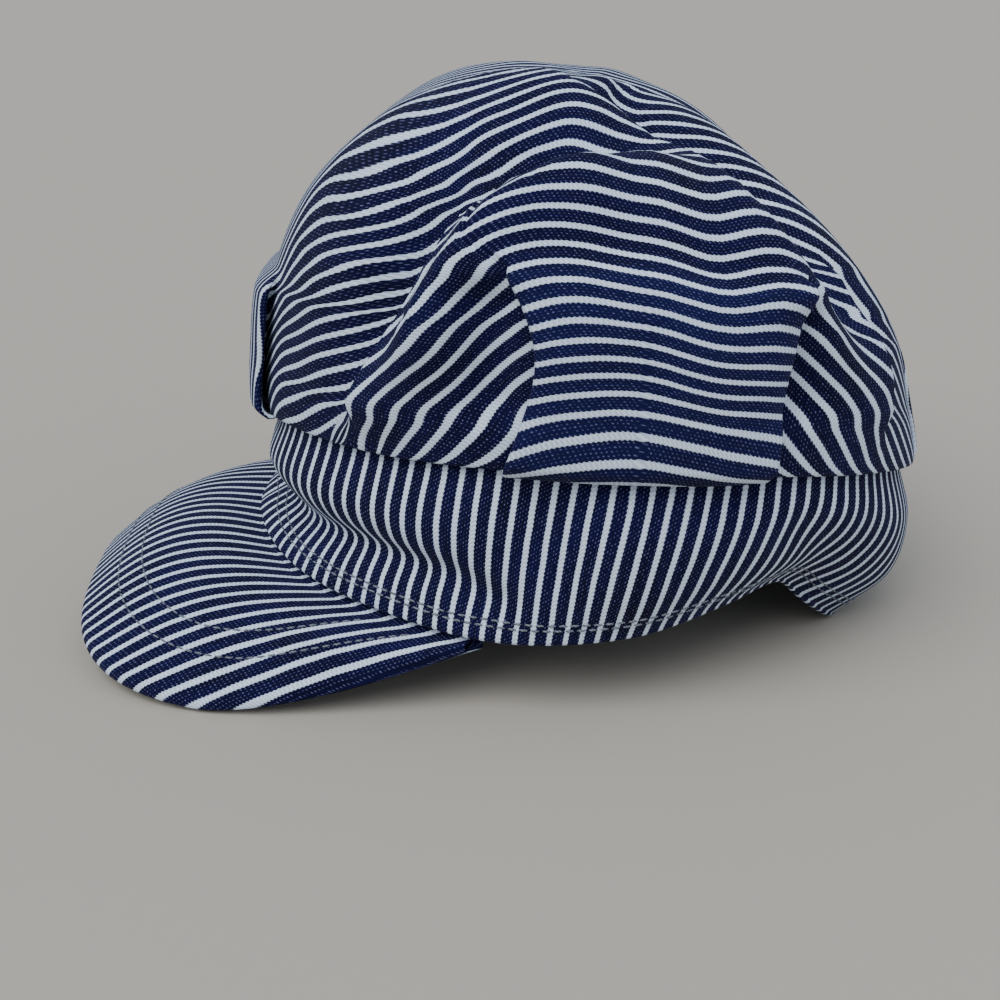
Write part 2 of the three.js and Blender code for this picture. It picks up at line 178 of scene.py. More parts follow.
# Distance from the middle of the nearest white stripe, in mm
stripe = add_node(tree, "Math", across, STRIPE_PITCH, operation="DIVIDE")
stripe = add_node(tree, "Math", stripe, 0.5, operation="PINGPONG")
distance = add_node(tree, "Math", stripe, STRIPE_PITCH, operation="MULTIPLY")
half_width = add_node(tree, "Math", wave, ROPE_SWELLING, WHITE_WIDTH / 2, operation="MULTIPLY_ADD")
inside = add_node(tree, "Math", half_width, distance, operation="SUBTRACT")
white = add_node(tree, "Math", inside, 1 / EDGE_SOFTNESS, 0.5, operation="MULTIPLY_ADD", use_clamp=True)
print("white takes", round(WHITE_WIDTH / STRIPE_PITCH, 2), "of the cloth's width")

# %% [markdown]
# Flecks, dye and wear
# Indigo sits on the outside of the yarns, so it is never even and it rubs off first where the cloth
# stands proud. The flecks are two waves that meet, one along the twill lines and one across them,
# broken up by a fine noise. They are about 1 mm apart, twice as coarse as the real ones, to show.

# %% Sprinkle the navy with flecks
SPECKLES = 1400.0
SPECKLE_DEPTH = 3.0
FLECK_LEVEL = -2.6
FLECK_CONTRAST = 0.75

rows = add_node(tree, "Math", across, 2 * pi / FLECK_ROW, operation="MULTIPLY")
rows = add_node(tree, "Math", rows, operation="COSINE")
dots = add_node(tree, "Math", wave, rows, operation="ADD")
speckle = add_node(tree, "TexNoise", uv, noise_dimensions="2D", Scale=SPECKLES, Detail=1.0)
uneven = add_node(tree, "Math", speckle, SPECKLE_DEPTH, FLECK_LEVEL, operation="MULTIPLY_ADD")
dots = add_node(tree, "Math", dots, uneven, operation="ADD")
fleck = add_node(tree, "Math", dots, FLECK_CONTRAST, operation="MULTIPLY", use_clamp=True)
print("rows of flecks are", FLECK_ROW, "mm apart")

# %% Dye the navy and wear it
NAVY = "0c0b3c"
NAVY_DEEP = "050620"
NAVY_WORN = "222863"
FLECK = "7c7fb0"
DYE_PATCHES = 45.0
YARN_STREAKS = (60.0, 1500.0, 1.0)
DYE_CONTRAST = 1.3
DYE_LEVEL = -0.8
WEAR_NAME = "wear"
WEAR_SHOWS = 0.55
FLECK_SHOWS = 0.62

dye = add_node(tree, "TexNoise", uv, noise_dimensions="2D", Scale=DYE_PATCHES, Detail=4.0)
along_yarns = add_node(tree, "Mapping", uv, Scale=YARN_STREAKS)
streak = add_node(tree, "TexNoise", along_yarns, noise_dimensions="2D", Scale=1.0, Detail=2.0)
patchy = add_node(tree, "Math", dye, streak, operation="ADD")
patchy = add_node(tree, "Math", patchy, DYE_CONTRAST, DYE_LEVEL, operation="MULTIPLY_ADD",
                  use_clamp=True)
ground = add_node(tree, "Mix", patchy, data_type="RGBA", in_6=colour(NAVY_DEEP), in_7=colour(NAVY))
wear = add_node(tree, "Attribute", attribute_name=WEAR_NAME)
worn = add_node(tree, "Math", wear.outputs["Fac"], WEAR_SHOWS, operation="MULTIPLY")
faded = add_node(tree, "Mix", worn, data_type="RGBA", in_6=ground.outputs[2], in_7=colour(NAVY_WORN))
pale = add_node(tree, "Math", fleck, FLECK_SHOWS, operation="MULTIPLY")
navy = add_node(tree, "Mix", pale, data_type="RGBA", in_6=faded.outputs[2], in_7=colour(FLECK))
print("navy ground is", [round(c, 3) for c in colour(NAVY)])

# %% Paint shade into the white rope's twists and lay it over the navy
WHITE = "e4f0ff"
WHITE_SHADE = "8c9ab6"
ROPE_SHADE = 0.34
STREAK_SHARE = 0.8
LEAST_SHADE = 0.3

# The darker lines along the twist are painted shade in the grooves between the white yarns. The random
# yarn streaks make this painted shade stronger or weaker.
rope = add_node(tree, "Math", wave, ROPE_SHADE, ROPE_SHADE, operation="MULTIPLY_ADD", use_clamp=True)
shade = add_node(tree, "Math", streak, STREAK_SHARE, LEAST_SHADE, operation="MULTIPLY_ADD")
rope = add_node(tree, "Math", rope, shade, operation="MULTIPLY")
white_with_painted_shade = add_node(tree, "Mix", rope, data_type="RGBA", in_6=colour(WHITE), in_7=colour(WHITE_SHADE))
cloth = add_node(tree, "Mix", white, data_type="RGBA", in_6=navy.outputs[2], in_7=white_with_painted_shade.outputs[2])
print("white thread is", [round(c, 3) for c in colour(WHITE)])

# %% Raise the yarns
TWILL_RIPPLE = 0.25
WHITE_RISE = 0.7
FLECK_RISE = 0.35
YARN_HEIGHT = 0.22

ripple = add_node(tree, "Math", wave, TWILL_RIPPLE, TWILL_RIPPLE, operation="MULTIPLY_ADD")
height = add_node(tree, "Math", white, WHITE_RISE, ripple, operation="MULTIPLY_ADD")
height = add_node(tree, "Math", fleck, FLECK_RISE, height, operation="MULTIPLY_ADD")
bump = add_node(tree, "Bump", Strength=0.55, Distance=YARN_HEIGHT * MM, Height=height)
surface = add_node(tree, "BsdfPrincipled", Base_Color=cloth.outputs[2], Roughness=0.88,
                   Specular_IOR_Level=0.12, Sheen_Weight=0.02, Sheen_Roughness=0.5, Normal=bump)
add_node(tree, "OutputMaterial", surface)
print("denim has", len(tree.nodes), "nodes")

# %% [markdown]
# Curves through a few sections
# Each soft piece is given as a few sections round the cap: the radius and the height of the cloth at
# some distances along it. A smooth curve runs through them, so the surface can be read anywhere.
# Angles go round from the front, 0, by the wearer's left, 90, to the back, 180.

# %% Curve helpers
DEGREE = pi / 180
FRONT_TO_MIDDLE = Vector((25.72, -0.06, 0))


def smooth(low, high, value):
    share = np.clip((value - low) / (high - low), 0, 1)
    return share * share * (3 - 2 * share)


def mix(start, end, share):
    return start + (end - start) * share


def unit(vectors):
    return vectors / np.maximum(np.linalg.norm(vectors, axis=-1, keepdims=True), 1e-9)


def curve_through(places, values, at):
    """A smooth curve through values at uneven places. values has one row for each place."""
    places = np.asarray(places, float)
    at = np.asarray(at, float)
    where = at.reshape(-1)
    values = np.asarray(values, float).reshape(len(places), -1)
    values = np.broadcast_to(values, (len(places), len(where)))
    before = np.maximum(np.arange(len(places)) - 1, 0)
    after = np.minimum(np.arange(len(places)) + 1, len(places) - 1)
    slopes = (values[after] - values[before]) / (places[after] - places[before])[:, None]
    leg = np.clip(np.searchsorted(places, where) - 1, 0, len(places) - 2)
    span = places[leg + 1] - places[leg]
    t = (where - places[leg]) / span
    column = np.arange(len(where))
    result = (1 + 2 * t) * (1 - t) ** 2 * values[leg, column]
    result += t * (1 - t) ** 2 * span * slopes[leg, column]
    result += t * t * (3 - 2 * t) * values[leg + 1, column]
    result += t * t * (t - 1) * span * slopes[leg + 1, column]
    return result.reshape(at.shape)


def around(table, column, angle):
    """One column of a section table, read at any angle round the cap."""
    wrapped = [*table[-2:], *table, *table[:2]]
    turns = [-360] * 2 + [0] * len(table) + [360] * 2
    places = [row["at"] + turn for row, turn in zip(wrapped, turns)]
    return curve_through(places, [[row[column]] for row in wrapped], np.mod(angle, 360))


def on_ring(angle, radius, height):
    x = -radius * np.cos(angle * DEGREE)
    y = -radius * np.sin(angle * DEGREE)
    return np.stack([x, y, height], -1)


def table(names, rows):
    return [dict(zip(names.split(), row)) for row in rows]


trial = curve_through([0, 1, 2], [[0], [1], [4]], 1.5)
print("a curve through 0, 1 and 4 gives", round(float(trial), 2), "between the last two")

# %% [markdown]
# The crown's sections
# The crown was cut as a disc 320 mm across. The columns give radius and height where the cloth lies
# at one distance from the disc's middle: top, upper, shoulder, belly and low are 30, 60, 88, 116 and
# 142 mm along it, and the seam on the band is at 157 mm. They repeat the solid's own sections.

# %% Crown sections
DISC_RADIUS = 160.0
CROWN_TOP = 154.0
SEAM_GAP = 0.5
SEAM_TUCK = 3.8
LIP_OUT = 3.0
LIP_RISE = 0.9
CLOTH_AT = {"top": 30, "upper": 60, "shoulder": 88, "belly": 116, "low": 142, "lip": 153, "seam": 157}
CROWN_SECTIONS = table(
    "at seamR seamZ lowR lowZ bellyR bellyZ shoulderR shoulderZ upperR upperZ topR topZ",
    [
        (0, 91, 62, 94, 78, 90, 103, 77, 128, 53, 147, 26, 155),
        (22, 91, 66, 93, 82, 90, 106, 79, 131, 57, 149, 28, 156),
        (45, 88, 66.5, 94, 83, 94, 108, 83, 133, 60, 151, 29, 157),
        (68, 86, 67, 91, 84, 92, 110, 80, 136, 53, 147, 27, 155),
        (90, 86, 66, 91, 84, 91, 110, 78, 137, 49, 142, 25, 154),
        (101, 87, 65, 91.5, 82, 91.5, 105.5, 79, 129, 51, 140, 26, 152),
        (112, 88, 64, 92, 81, 92, 105, 78, 127, 52, 139, 28, 151),
        (135, 91, 58, 93, 75, 91, 96, 78, 115, 55, 133, 29, 148),
        (158, 92, 50, 92, 66, 87, 85, 73, 105, 53, 124, 29, 144),
        (180, 92, 42, 92, 60, 86, 79, 73, 100, 54, 121, 30, 142),
        (202, 92, 49, 93, 66, 91, 86, 78, 107, 57, 127, 31, 146),
        (225, 91, 57, 95, 74, 95, 97, 82, 118, 58, 136, 30, 150),
        (248, 88, 63, 94, 80, 94, 105, 81, 129, 55, 144, 28, 154),
        (270, 86, 65, 91, 83, 91, 108, 78, 133, 52, 146, 28, 155),
        (292, 86, 66, 92, 84, 92, 109, 79, 134, 55, 149, 28, 156),
        (315, 88, 66, 94, 83, 93, 109, 80, 133, 57, 151, 29, 157),
        (338, 91, 65, 93, 81, 91, 106, 76, 130, 53, 149, 27, 156),
    ],
)
print("crown sections at", len(CROWN_SECTIONS), "angles")

# %% Read the crown anywhere

def crown_base(angle, cloth):
    """The crown without pleats and folds, at an angle and a distance along the cloth."""
    angle, cloth = np.broadcast_arrays(np.asarray(angle, float), np.asarray(cloth, float))
    seam_r = around(CROWN_SECTIONS, "seamR", angle).reshape(-1)
    seam_z = around(CROWN_SECTIONS, "seamZ", angle).reshape(-1) + SEAM_GAP
    named = ["top", "upper", "shoulder", "belly", "low"]
    radii = [around(CROWN_SECTIONS, name + "R", angle).reshape(-1) for name in named]
    heights = [around(CROWN_SECTIONS, name + "Z", angle).reshape(-1) for name in named]
    radii = [0 * seam_r, *radii, seam_r + LIP_OUT, seam_r, seam_r - SEAM_TUCK]
    heights = [0 * seam_r + CROWN_TOP, *heights, seam_z + LIP_RISE, seam_z, seam_z]
    places = [0, *CLOTH_AT.values(), DISC_RADIUS]
    return on_ring(angle, curve_through(places, radii, cloth), curve_through(places, heights, cloth))


def crown_normal(angle, cloth):
    near = np.maximum(cloth, 2.0)
    along = crown_base(angle, near + 0.5) - crown_base(angle, near - 0.5)
    across = crown_base(angle + 0.5, near) - crown_base(angle - 0.5, near)
    return unit(np.cross(along, across))


print("the crown's left shoulder is at", crown_base(90.0, 88.0).round(1))

# %% [markdown]
# The crown's folds
# A cloth cap that has been put down keeps soft creases. Each is a path over the cloth, given as
# angle and cloth distance, with a height that pushes the cloth out or in beside it. A crease is
# seldom even: left and right are its widths beside the path, so that one side can be steep.

# %% Fold table
FOLDS = table(
    "name height left right path",
    [
        ("crease round the left lobe", -9, 11, 5,
         [(41, 148), (51, 122), (58, 96), (64, 82), (76, 75), (90, 71), (106, 68)]),
        ("edge of the near lobe", 5, 4, 14, [(50, 142), (58, 117), (66, 97), (76, 89), (90, 86)]),
        ("hollow before the left pleat", -5, 7, 7, [(66, 110), (67, 148)]),
        ("ridge to the back left", 5, 5, 16,
         [(42, 30), (65, 43), (92, 54), (102, 68), (108, 90), (116, 112), (123, 138)]),
        ("hollow behind the ridge", -9, 12, 7,
         [(80, 26), (96, 38), (108, 50), (115, 66), (121, 90), (128, 112), (134, 136)]),
        ("hollow behind the left pleat", -5, 7, 7, [(113, 112), (115, 146)]),
        ("crease in the front right", -6, 10, 10, [(318, 146), (308, 116), (302, 88), (290, 68)]),
        ("hollow before the right pleat", -4, 8, 8, [(294, 112), (293, 148)]),
        ("hollow behind the right pleat", -4, 8, 8, [(247, 112), (245, 148)]),
        ("crease in the back right", -6, 10, 10, [(262, 60), (240, 80), (228, 108), (222, 140)]),
        ("dip in the roof", -4, 18, 18, [(196, 44), (214, 78)]),
    ],
)
print("folds in the crown:", len(FOLDS))

# %% Push the cloth out and in
FOLD_STEPS = 6
FOLD_FADE = 0.2


def path_points(path):
    """A fold's path with points added between its corners, on the cloth."""
    count = FOLD_STEPS * (len(path) - 1) + 1
    at = np.linspace(0, len(path) - 1, count)
    corners = np.arange(len(path))
    angles = np.interp(at, corners, [place[0] for place in path])
    cloth = np.interp(at, corners, [place[1] for place in path])
    return crown_base(angles, cloth)


def fold_relief(place, normal, cloth):
    """How far all the folds together push the cloth out at each place."""
    points = place.reshape(-1, 3)
    facing = normal.reshape(-1, 3)
    relief = np.zeros(len(points))
    for fold in FOLDS:
        path = path_points(fold["path"])
        nearest = np.full(len(points), np.inf)
        share = np.zeros(len(points))
        side = np.zeros(len(points))
        for k in range(len(path) - 1):
            leg = path[k + 1] - path[k]
            t = np.clip((points - path[k]) @ leg / (leg @ leg), 0, 1)
            offset = points - (path[k] + t[:, None] * leg)
            away = np.linalg.norm(offset, axis=1)
            turned = np.einsum("ij,ij->i", np.cross(leg[None, :], offset), facing)
            closer = away < nearest
            nearest = np.where(closer, away, nearest)
            share = np.where(closer, (k + t) / (len(path) - 1), share)
            side = np.where(closer, turned, side)
        width = np.where(side > 0, fold["left"], fold["right"])
        ends = smooth(0, FOLD_FADE, share) * smooth(0, FOLD_FADE, 1 - share)
        relief += fold["height"] * np.exp(-((nearest / width) ** 2)) * ends
    relief = relief.reshape(cloth.shape)
    return relief * (1 - smooth(CLOTH_AT["low"], CLOTH_AT["seam"], cloth))


print("the ridge runs over", len(path_points(FOLDS[3]["path"])), "points")

# %% [markdown]
# Box pleats and overlaps
# The disc's rim is much longer than the band, so about 110 mm of cloth in each quarter is folded
# away. A box pleat has two Z-shaped folds: the cloth runs in under the panel, back, and out over the
# folded edge. Each corner also has a softer overlap of the same kind. Their depths aren't guessed.
# They are what is left over when a quarter of the flat ring is laid on the shaped ring.

# %% Pleat tables
PLEAT_OPENING = 9.0
PLEAT_GROWING = 26.0
SEWN = (151.0, 156.0)
STACK = 1.7
PLEATS = [
    {"at": 0, "opens": 114, "before": (24, 24, 0), "after": (22, 22, 0), "proud": 4.4},
    {"at": 90, "opens": 104, "before": (34, 32, 9), "after": (35, 29, 0), "proud": 5.0},
    {"at": 180, "opens": 112, "before": (18, 18, 0), "after": (24, 24, 1), "proud": 2.6},
    {"at": 270, "opens": 106, "before": (35, 32, 2), "after": (35, 32, 0), "proud": 5.0},
]
OVERLAPS = [
    {"path": [(36, 157), (42, 148), (51, 122), (58, 96), (59, 86), (56, 60), (48, 20), (46, 0)],
     "opens": (84, 98), "ends": (142, 152), "lap": 3.6, "over": 1},
    {"path": [(136, 157), (135, 140), (133, 116), (130, 90), (126, 60), (130, 0)],
     "opens": (84, 98), "ends": (140, 152), "lap": 3.4, "over": -1},
    {"path": [(222, 157), (223, 140), (228, 110), (234, 86), (232, 60), (226, 20), (225, 0)],
     "opens": (74, 88), "ends": (142, 152), "lap": 3.4, "over": 1},
    {"path": [(319, 157), (318, 146), (309, 116), (305, 88), (307, 60), (314, 20), (315, 0)],
     "opens": (74, 88), "ends": (142, 152), "lap": 3.4, "over": -1},
]
OVERLAP_SHARE = ([0, 100, 116, 130, 142, 150, 160], [[1], [1], [0.5], [0.25], [0.08], [0], [0]])
print("pleats:", len(PLEATS), "and overlaps:", len(OVERLAPS))

# %% One fold, from its lower layer to its top one
LAYER_STEPS = 4
TURN_STEPS = 5
TOP_LAYER = 3.0
LOWER_LAYER_RISES = 0.6


def fold_across(radius, depth, low, middle, top, opened, spread):
    """One Z-shaped fold from its lower layer to its top one: angles from its edge, and heights."""
    run = np.linspace(0, 1, LAYER_STEPS + 1)
    inner = np.linspace(0, pi, TURN_STEPS + 1)[1:-1]
    outer = np.linspace(0, pi, TURN_STEPS + 2)[1:-1]
    along = [depth * run, depth + (middle - low) / 2 * np.sin(inner), depth * run[::-1],
             -(top - middle) / 2 * np.sin(outer), np.array([0, TOP_LAYER])]
    height = [low * smooth(0, LOWER_LAYER_RISES, run), mix(low, middle, (1 - np.cos(inner)) / 2),
              0 * run + middle, mix(middle, top, (1 - np.cos(outer)) / 2), np.array([top, top])]
    along = np.concatenate(along) / radius / DEGREE
    height = np.concatenate(height)
    flat = spread * (np.linspace(0, 1, len(along)) - 0.5)
    return mix(flat, along, opened), height * opened


print("one fold has", len(fold_across(90.0, 20.0, 0, 2, 4, 1.0, 8.0)[0]), "columns")

# %% Where a pleat's edge runs
LEAST_RADIUS = 20.0
BOW_REACH = 1.1


def ring_radius(angle, cloth):
    place = crown_base(float(angle), float(cloth))
    return max(LEAST_RADIUS, float(np.hypot(place[0], place[1])))


def pleat_edge(pleat, side, cloth):
    """The angle of a pleat's folded edge. Its half width has a top, a rim and an inward bow."""
    top, rim, bow = pleat["before" if side < 0 else "after"]
    level = max(cloth, pleat["opens"])
    share = (level - pleat["opens"]) / (DISC_RADIUS - pleat["opens"])
    half = mix(top, rim, share) - bow * np.sin(pi * min(1, share * BOW_REACH))
    return pleat["at"] + side * np.arcsin(half / ring_radius(pleat["at"], level)) / DEGREE


print("the left pleat starts at", pleat_edge(PLEATS[1], -1, 130.0).round(1), "degrees")

# %% One quarter of a ring
PANEL_STEPS = 9
CORNER_STEPS = 11
PLEAT_SPREAD = 8.0
PLEAT_EARLY = 4
OVERLAP_SPREAD = 9.0
LAP_STARTS_AT = 0.55
LAP_GROWING = 14
LAP_SINK = 4.0
LAP_SINKS_FROM = (6.0, 13.0)
LOBE_REACH = 16.0
LEAST_DEPTH = 1.0


def quarter_ring(cloth, quarter, spare):
    """Angles and heights of one quarter of a ring, from one pleat's middle to the next one's."""
    here = PLEATS[quarter]
    ahead = PLEATS[(quarter + 1) % 4]
    lap = OVERLAPS[quarter]
    full_turn = 360 if quarter == 3 else 0
    hidden = max(0.0, spare)
    share = float(curve_through(*OVERLAP_SHARE, cloth))
    sewn = smooth(*SEWN, cloth)

    def pleat_fold(pleat, side):
        edge = pleat_edge(pleat, side, cloth)
        proud = pleat["proud"]
        full = smooth(pleat["opens"], pleat["opens"] + PLEAT_OPENING, cloth)
        layers = (mix(0, -2 * STACK, sewn), mix(proud / 2, -STACK, sewn), mix(proud, 0, sewn))
        grown = smooth(pleat["opens"] - PLEAT_EARLY, pleat["opens"] + PLEAT_GROWING, cloth)
        depth = max(LEAST_DEPTH, hidden * (1 - share) / 4 * grown)
        turned, height = fold_across(ring_radius(edge, cloth), depth, *layers, full, PLEAT_SPREAD)
        return edge - side * turned, height

    first, first_height = pleat_fold(here, 1)
    first, first_height = first[::-1], first_height[::-1]
    last, last_height = pleat_fold(ahead, -1)
    last = last + full_turn

    path = lap["path"][::-1]
    edge = np.interp(cloth, [place[1] for place in path], [place[0] for place in path])
    radius = ring_radius(edge, cloth)
    opened = smooth(*lap["opens"], cloth) * (1 - smooth(*lap["ends"], cloth))
    grown = smooth(lap["opens"][0], lap["opens"][1] + LAP_GROWING, cloth)
    depth = max(LEAST_DEPTH, hidden * share / 2 * grown)
    top = lap["lap"] * mix(LAP_STARTS_AT, 1, grown)
    turned, height = fold_across(radius, depth, 0, top / 2, top, opened, OVERLAP_SPREAD)
    height = height - LAP_SINK * opened * smooth(*LAP_SINKS_FROM, turned * DEGREE * radius)
    middle = (edge + lap["over"] * turned)[:: lap["over"]]
    height = height[:: lap["over"]]

    panel = np.linspace(here["at"], first[0], PANEL_STEPS + 1)[:-1]
    far_panel = np.linspace(last[-1], ahead["at"] + full_turn, PANEL_STEPS + 1)[1:-1]
    step = np.linspace(0, 1, CORNER_STEPS + 2)[1:-1]
    near_lobe = mix(first[-1], middle[0], step)
    far_lobe = mix(middle[-1], last[0], step)
    near_swell = height[0] * np.exp(-(((middle[0] - near_lobe) * DEGREE * radius / LOBE_REACH) ** 2))
    far_swell = height[-1] * np.exp(-(((far_lobe - middle[-1]) * DEGREE * radius / LOBE_REACH) ** 2))
    angles = [panel, first, near_lobe, middle, far_lobe, last, far_panel]
    heights = [0 * panel + first_height[0], first_height, near_swell, height, far_swell, last_height,
               0 * far_panel + last_height[-1]]
    return np.concatenate(angles), np.concatenate(heights)


trial, trial_height = quarter_ring(130.0, 0, 50.0)
print("a quarter ring has", len(trial), "columns and stands out up to", trial_height.max(), "mm")

# %% [markdown]
# Shaping the crown
# Rings of cloth are laid from the middle of the disc to the rim. For each ring the spare length is
# measured first, then folded away. Near the band the folds are pushed out level, not down.

# %% Lay the rings
RINGS = 130
MEASURE_STEP = 1.5
EVENING_ROUNDS = 3
RING_PLACES = ([0, 0.35, 0.8, 0.93, 1], [[0.0], [66.0], [138.0], [153.0], [DISC_RADIUS]])


def spare_lengths(rings):
    """For each ring and quarter, how much longer the flat ring is than the shaped one."""
    angle, cloth = np.meshgrid(np.arange(0, 361, MEASURE_STEP), rings)
    place = crown_base(angle, cloth)
    normal = crown_normal(angle, cloth)
    place = place + normal * fold_relief(place, normal, cloth)[..., None]
    steps = np.linalg.norm(np.diff(place, axis=1), axis=2)
    spare = rings[:, None] * pi / 2 - steps.reshape(len(rings), 4, -1).sum(2)
    for _ in range(EVENING_ROUNDS):
        padded = np.concatenate([spare[:1], spare, spare[-1:]])
        spare = (padded[:-2] + 2 * padded[1:-1] + padded[2:]) / 4
    return spare


def shape_crown():
    rings = curve_through(*RING_PLACES, np.linspace(0, 1, RINGS))
    spare = spare_lengths(rings)
    angle, height = [], []
    for cloth, hidden in zip(rings, spare):
        quarters = [quarter_ring(float(cloth), q, float(hidden[q])) for q in range(4)]
        angle.append(np.concatenate([part[0] for part in quarters] + [[360.0]]))
        height.append(np.concatenate([part[1] for part in quarters] + [quarters[0][1][:1]]))
    angle = np.array(angle)
    height = np.array(height)
    cloth = np.broadcast_to(rings[:, None], angle.shape).copy()
    place = crown_base(angle, cloth)
    normal = crown_normal(angle, cloth)
    relief = fold_relief(place, normal, cloth)
    level = smooth(CLOTH_AT["belly"], CLOTH_AT["low"], cloth) * (1 - smooth(*SEWN, cloth))
    push = unit(normal * np.stack([1 + 0 * level, 1 + 0 * level, 1 - level], -1))
    return rings, angle, place + push * (relief + height)[..., None], height


rings, crown_angle, crown_place, crown_height = shape_crown()
print("crown grid", crown_place.shape, "highest point", crown_place[..., 2].max().round(1), "mm")

# %% [markdown]
# The flat pattern
# Stripes only look woven if they keep their distance on the cloth, however it folds. So each point
# needs its place on the flat disc. A first guess lays every ring out by its length. Then the points
# are eased about until the distances on the flat cloth match those on the shaped one.

# %% Flatten the cloth
EASE_ROUNDS = 180
EASE_HOLD = 0.003
EASE_STEP = 1.5


def flat_disc(rings, place):
    """A first flat pattern of the crown: each quarter of a ring fills a quarter turn."""
    steps = np.linalg.norm(np.diff(place, axis=1), axis=2)
    total = np.concatenate([np.zeros((len(rings), 1)), np.cumsum(steps, 1)], 1)
    per_quarter = (place.shape[1] - 1) // 4
    turn = np.zeros(place.shape[:2])
    for q in range(4):
        part = total[:, q * per_quarter : (q + 1) * per_quarter + 1]
        length = np.maximum(part[:, -1:] - part[:, :1], 1e-9)
        even = np.linspace(0, 1, per_quarter + 1)[None, :]
        share = np.where(length > 1e-6, (part - part[:, :1]) / length, even)
        turn[:, q * per_quarter : (q + 1) * per_quarter + 1] = (q + share) * 90 * DEGREE
    return np.stack([-rings[:, None] * np.cos(turn), -rings[:, None] * np.sin(turn)], -1)


def even_out(shift):
    """Blends each point's shift with those of its neighbours, along the grid and across it."""
    down = np.concatenate([shift[:1], shift, shift[-1:]])
    shift = (down[:-2] + 2 * down[1:-1] + down[2:]) / 4
    round_it = np.concatenate([shift[:, -2:-1], shift, shift[:, 1:2]], 1)
    return (round_it[:, :-2] + 2 * round_it[:, 1:-1] + round_it[:, 2:]) / 4


def ease_pattern(flat, place, rounds, hold):
    """Moves the points of a flat pattern until their distances are those of the shaped cloth."""
    start = flat.copy()
    links = []
    for down, right, weight in ((0, 1, 1.0), (1, 0, 1.0), (1, 1, 0.5), (1, -1, 0.5)):
        rows, columns = flat.shape[:2]
        a = (slice(0, rows - down), slice(max(0, -right), columns - max(0, right)))
        b = (slice(down, rows), slice(max(0, right), columns + min(0, right)))
        links.append((a, b, weight, np.linalg.norm(place[a] - place[b], axis=2)))
    weights = np.zeros(flat.shape[:2])
    for a, b, weight, _ in links:
        weights[a] += weight
        weights[b] += weight
    for _ in range(rounds):
        shift = np.zeros_like(flat)
        for a, b, weight, length in links:
            apart = flat[b] - flat[a]
            now = np.linalg.norm(apart, axis=2) + 1e-9
            fix = (weight * 0.5 * (now - length) / now)[..., None] * apart
            shift[a] += fix
            shift[b] -= fix
        shift = even_out(flat + EASE_STEP * shift / weights[..., None] - start)
        flat = start + shift * (1 - hold)
    return flat


crown_flat = ease_pattern(flat_disc(rings, crown_place), crown_place, EASE_ROUNDS, EASE_HOLD)
print("flat crown is", np.ptp(crown_flat[..., 1]).round(0), "mm across")

# %% [markdown]
# Where the cloth has slipped
# The real cap was folded by hand, so its stripes don't lie as an evenly folded disc's would. Pulled
# cloth slips sideways by some millimetres, and a whole side of the disc can turn by some degrees.
# A cloth simulation would slip in its own way. So the amounts are two short tables, found by following
# single stripes, and a smooth blend of the places that are near fills the rest.
# Under an opened fold the cloth is hidden, and there it goes evenly from one side to the other.

# %% How far the disc turned, in degrees
TURNED = table(
    "at upper shoulder belly low",
    [
        (0, 12, 15, 20, 17), (10, 14, 17, 21, 17), (19, 14, 16.5, 21.5, 17),
        (28, 10.5, 11.5, 19.5, 14.5), (35, 6.5, 6.5, 17.5, 13), (42, 2, 2, 15, 11),
        (50, -1, -1, 11.5, 9), (58, 0, 0, 5, 7), (70, 0, 0, 0, 0),
        (112, 0, 0, 0, 0), (126, -3, -2, 0, 0), (142, -7, -6, -3, 0), (158, -9, -8, -5, -2),
        (172, -7, -7, -4, -2), (190, -3, -3, -2, -1), (212, 0, 0, 0, 0), (320, 0, 0, 0, 0),
        (345, 7, 9, 11, 8),
    ],
)
TURN_PLACES = [0, 24, 60, 88, 116, 142, 160]
print("the disc turns by up to", max(row["belly"] for row in TURNED), "degrees")

# %% How far the cloth slipped, in mm
SLIPS = table(
    "at cloth slip",
    [
        (40, 75, -1), (45, 80, -3), (46, 66, -4), (50, 71, -6), (54, 80, -5), (47, 50, 0),
        (53, 59, -3.5), (57, 68, -6), (59, 74, -5), (55, 55, -2), (58, 62, -4), (61, 67, -3),
        (62, 71, -1), (58, 49, 1),
        (61, 56, 1), (64, 64, 0), (65, 67, 1), (65, 53, 4), (67, 60, 5), (70, 70, 4), (71, 56, 5),
        (76, 65, 4.5), (80, 63, 4), (83, 57, 3), (86, 66, 1.5), (92, 62, 0), (92, 50, 0), (97, 72, 0),
        (62, 92, -1), (66, 93, -2), (71, 92, -2), (76, 94, -3), (82, 96, -5), (88, 97, -7),
        (88, 88, -4), (59, 112, -3), (60, 124, -1), (58, 138, 1), (60, 148, 9), (61, 104, -2),
        (65, 101, 6), (66, 111, 3),
        (65, 119, 2), (68, 125, 3), (66, 140, 6), (71, 102, 9), (71, 118, 6), (72, 132, 8),
        (79, 104, 6), (80, 114, 6), (80, 124, 7), (80, 136, 8), (80, 146, 9),
        (88, 105, -4), (88, 110, 1), (88, 122, 4), (88, 134, 8), (88, 146, 10),
        (97, 98, -3), (97, 107, -2), (97, 115, 1), (97, 125, 2), (97, 136, 4), (97, 147, 9),
        (106, 98, 4), (106, 112, 6), (106, 128, 5), (106, 147, 7),
    ],
)
print("places where the slip is given:", len(SLIPS))

# %% Blend the slips of the places that are near
SLIP_RADIUS = 90.0
SLIP_REACH = 8.0
SLIP_FLOOR = 0.02


def slip_at(angle, cloth):
    """How far the cloth has slipped across its stripes, in mm, from the places that are near."""
    total = np.zeros_like(angle)
    weights = np.full_like(angle, SLIP_FLOOR)
    for row in SLIPS:
        turned = np.mod(angle - row["at"] + 180, 360) - 180
        away = np.hypot(turned * DEGREE * SLIP_RADIUS, cloth - row["cloth"])
        weight = np.exp(-((away / SLIP_REACH) ** 2) / 2)
        total += weight * row["slip"]
        weights += weight
    return total / weights


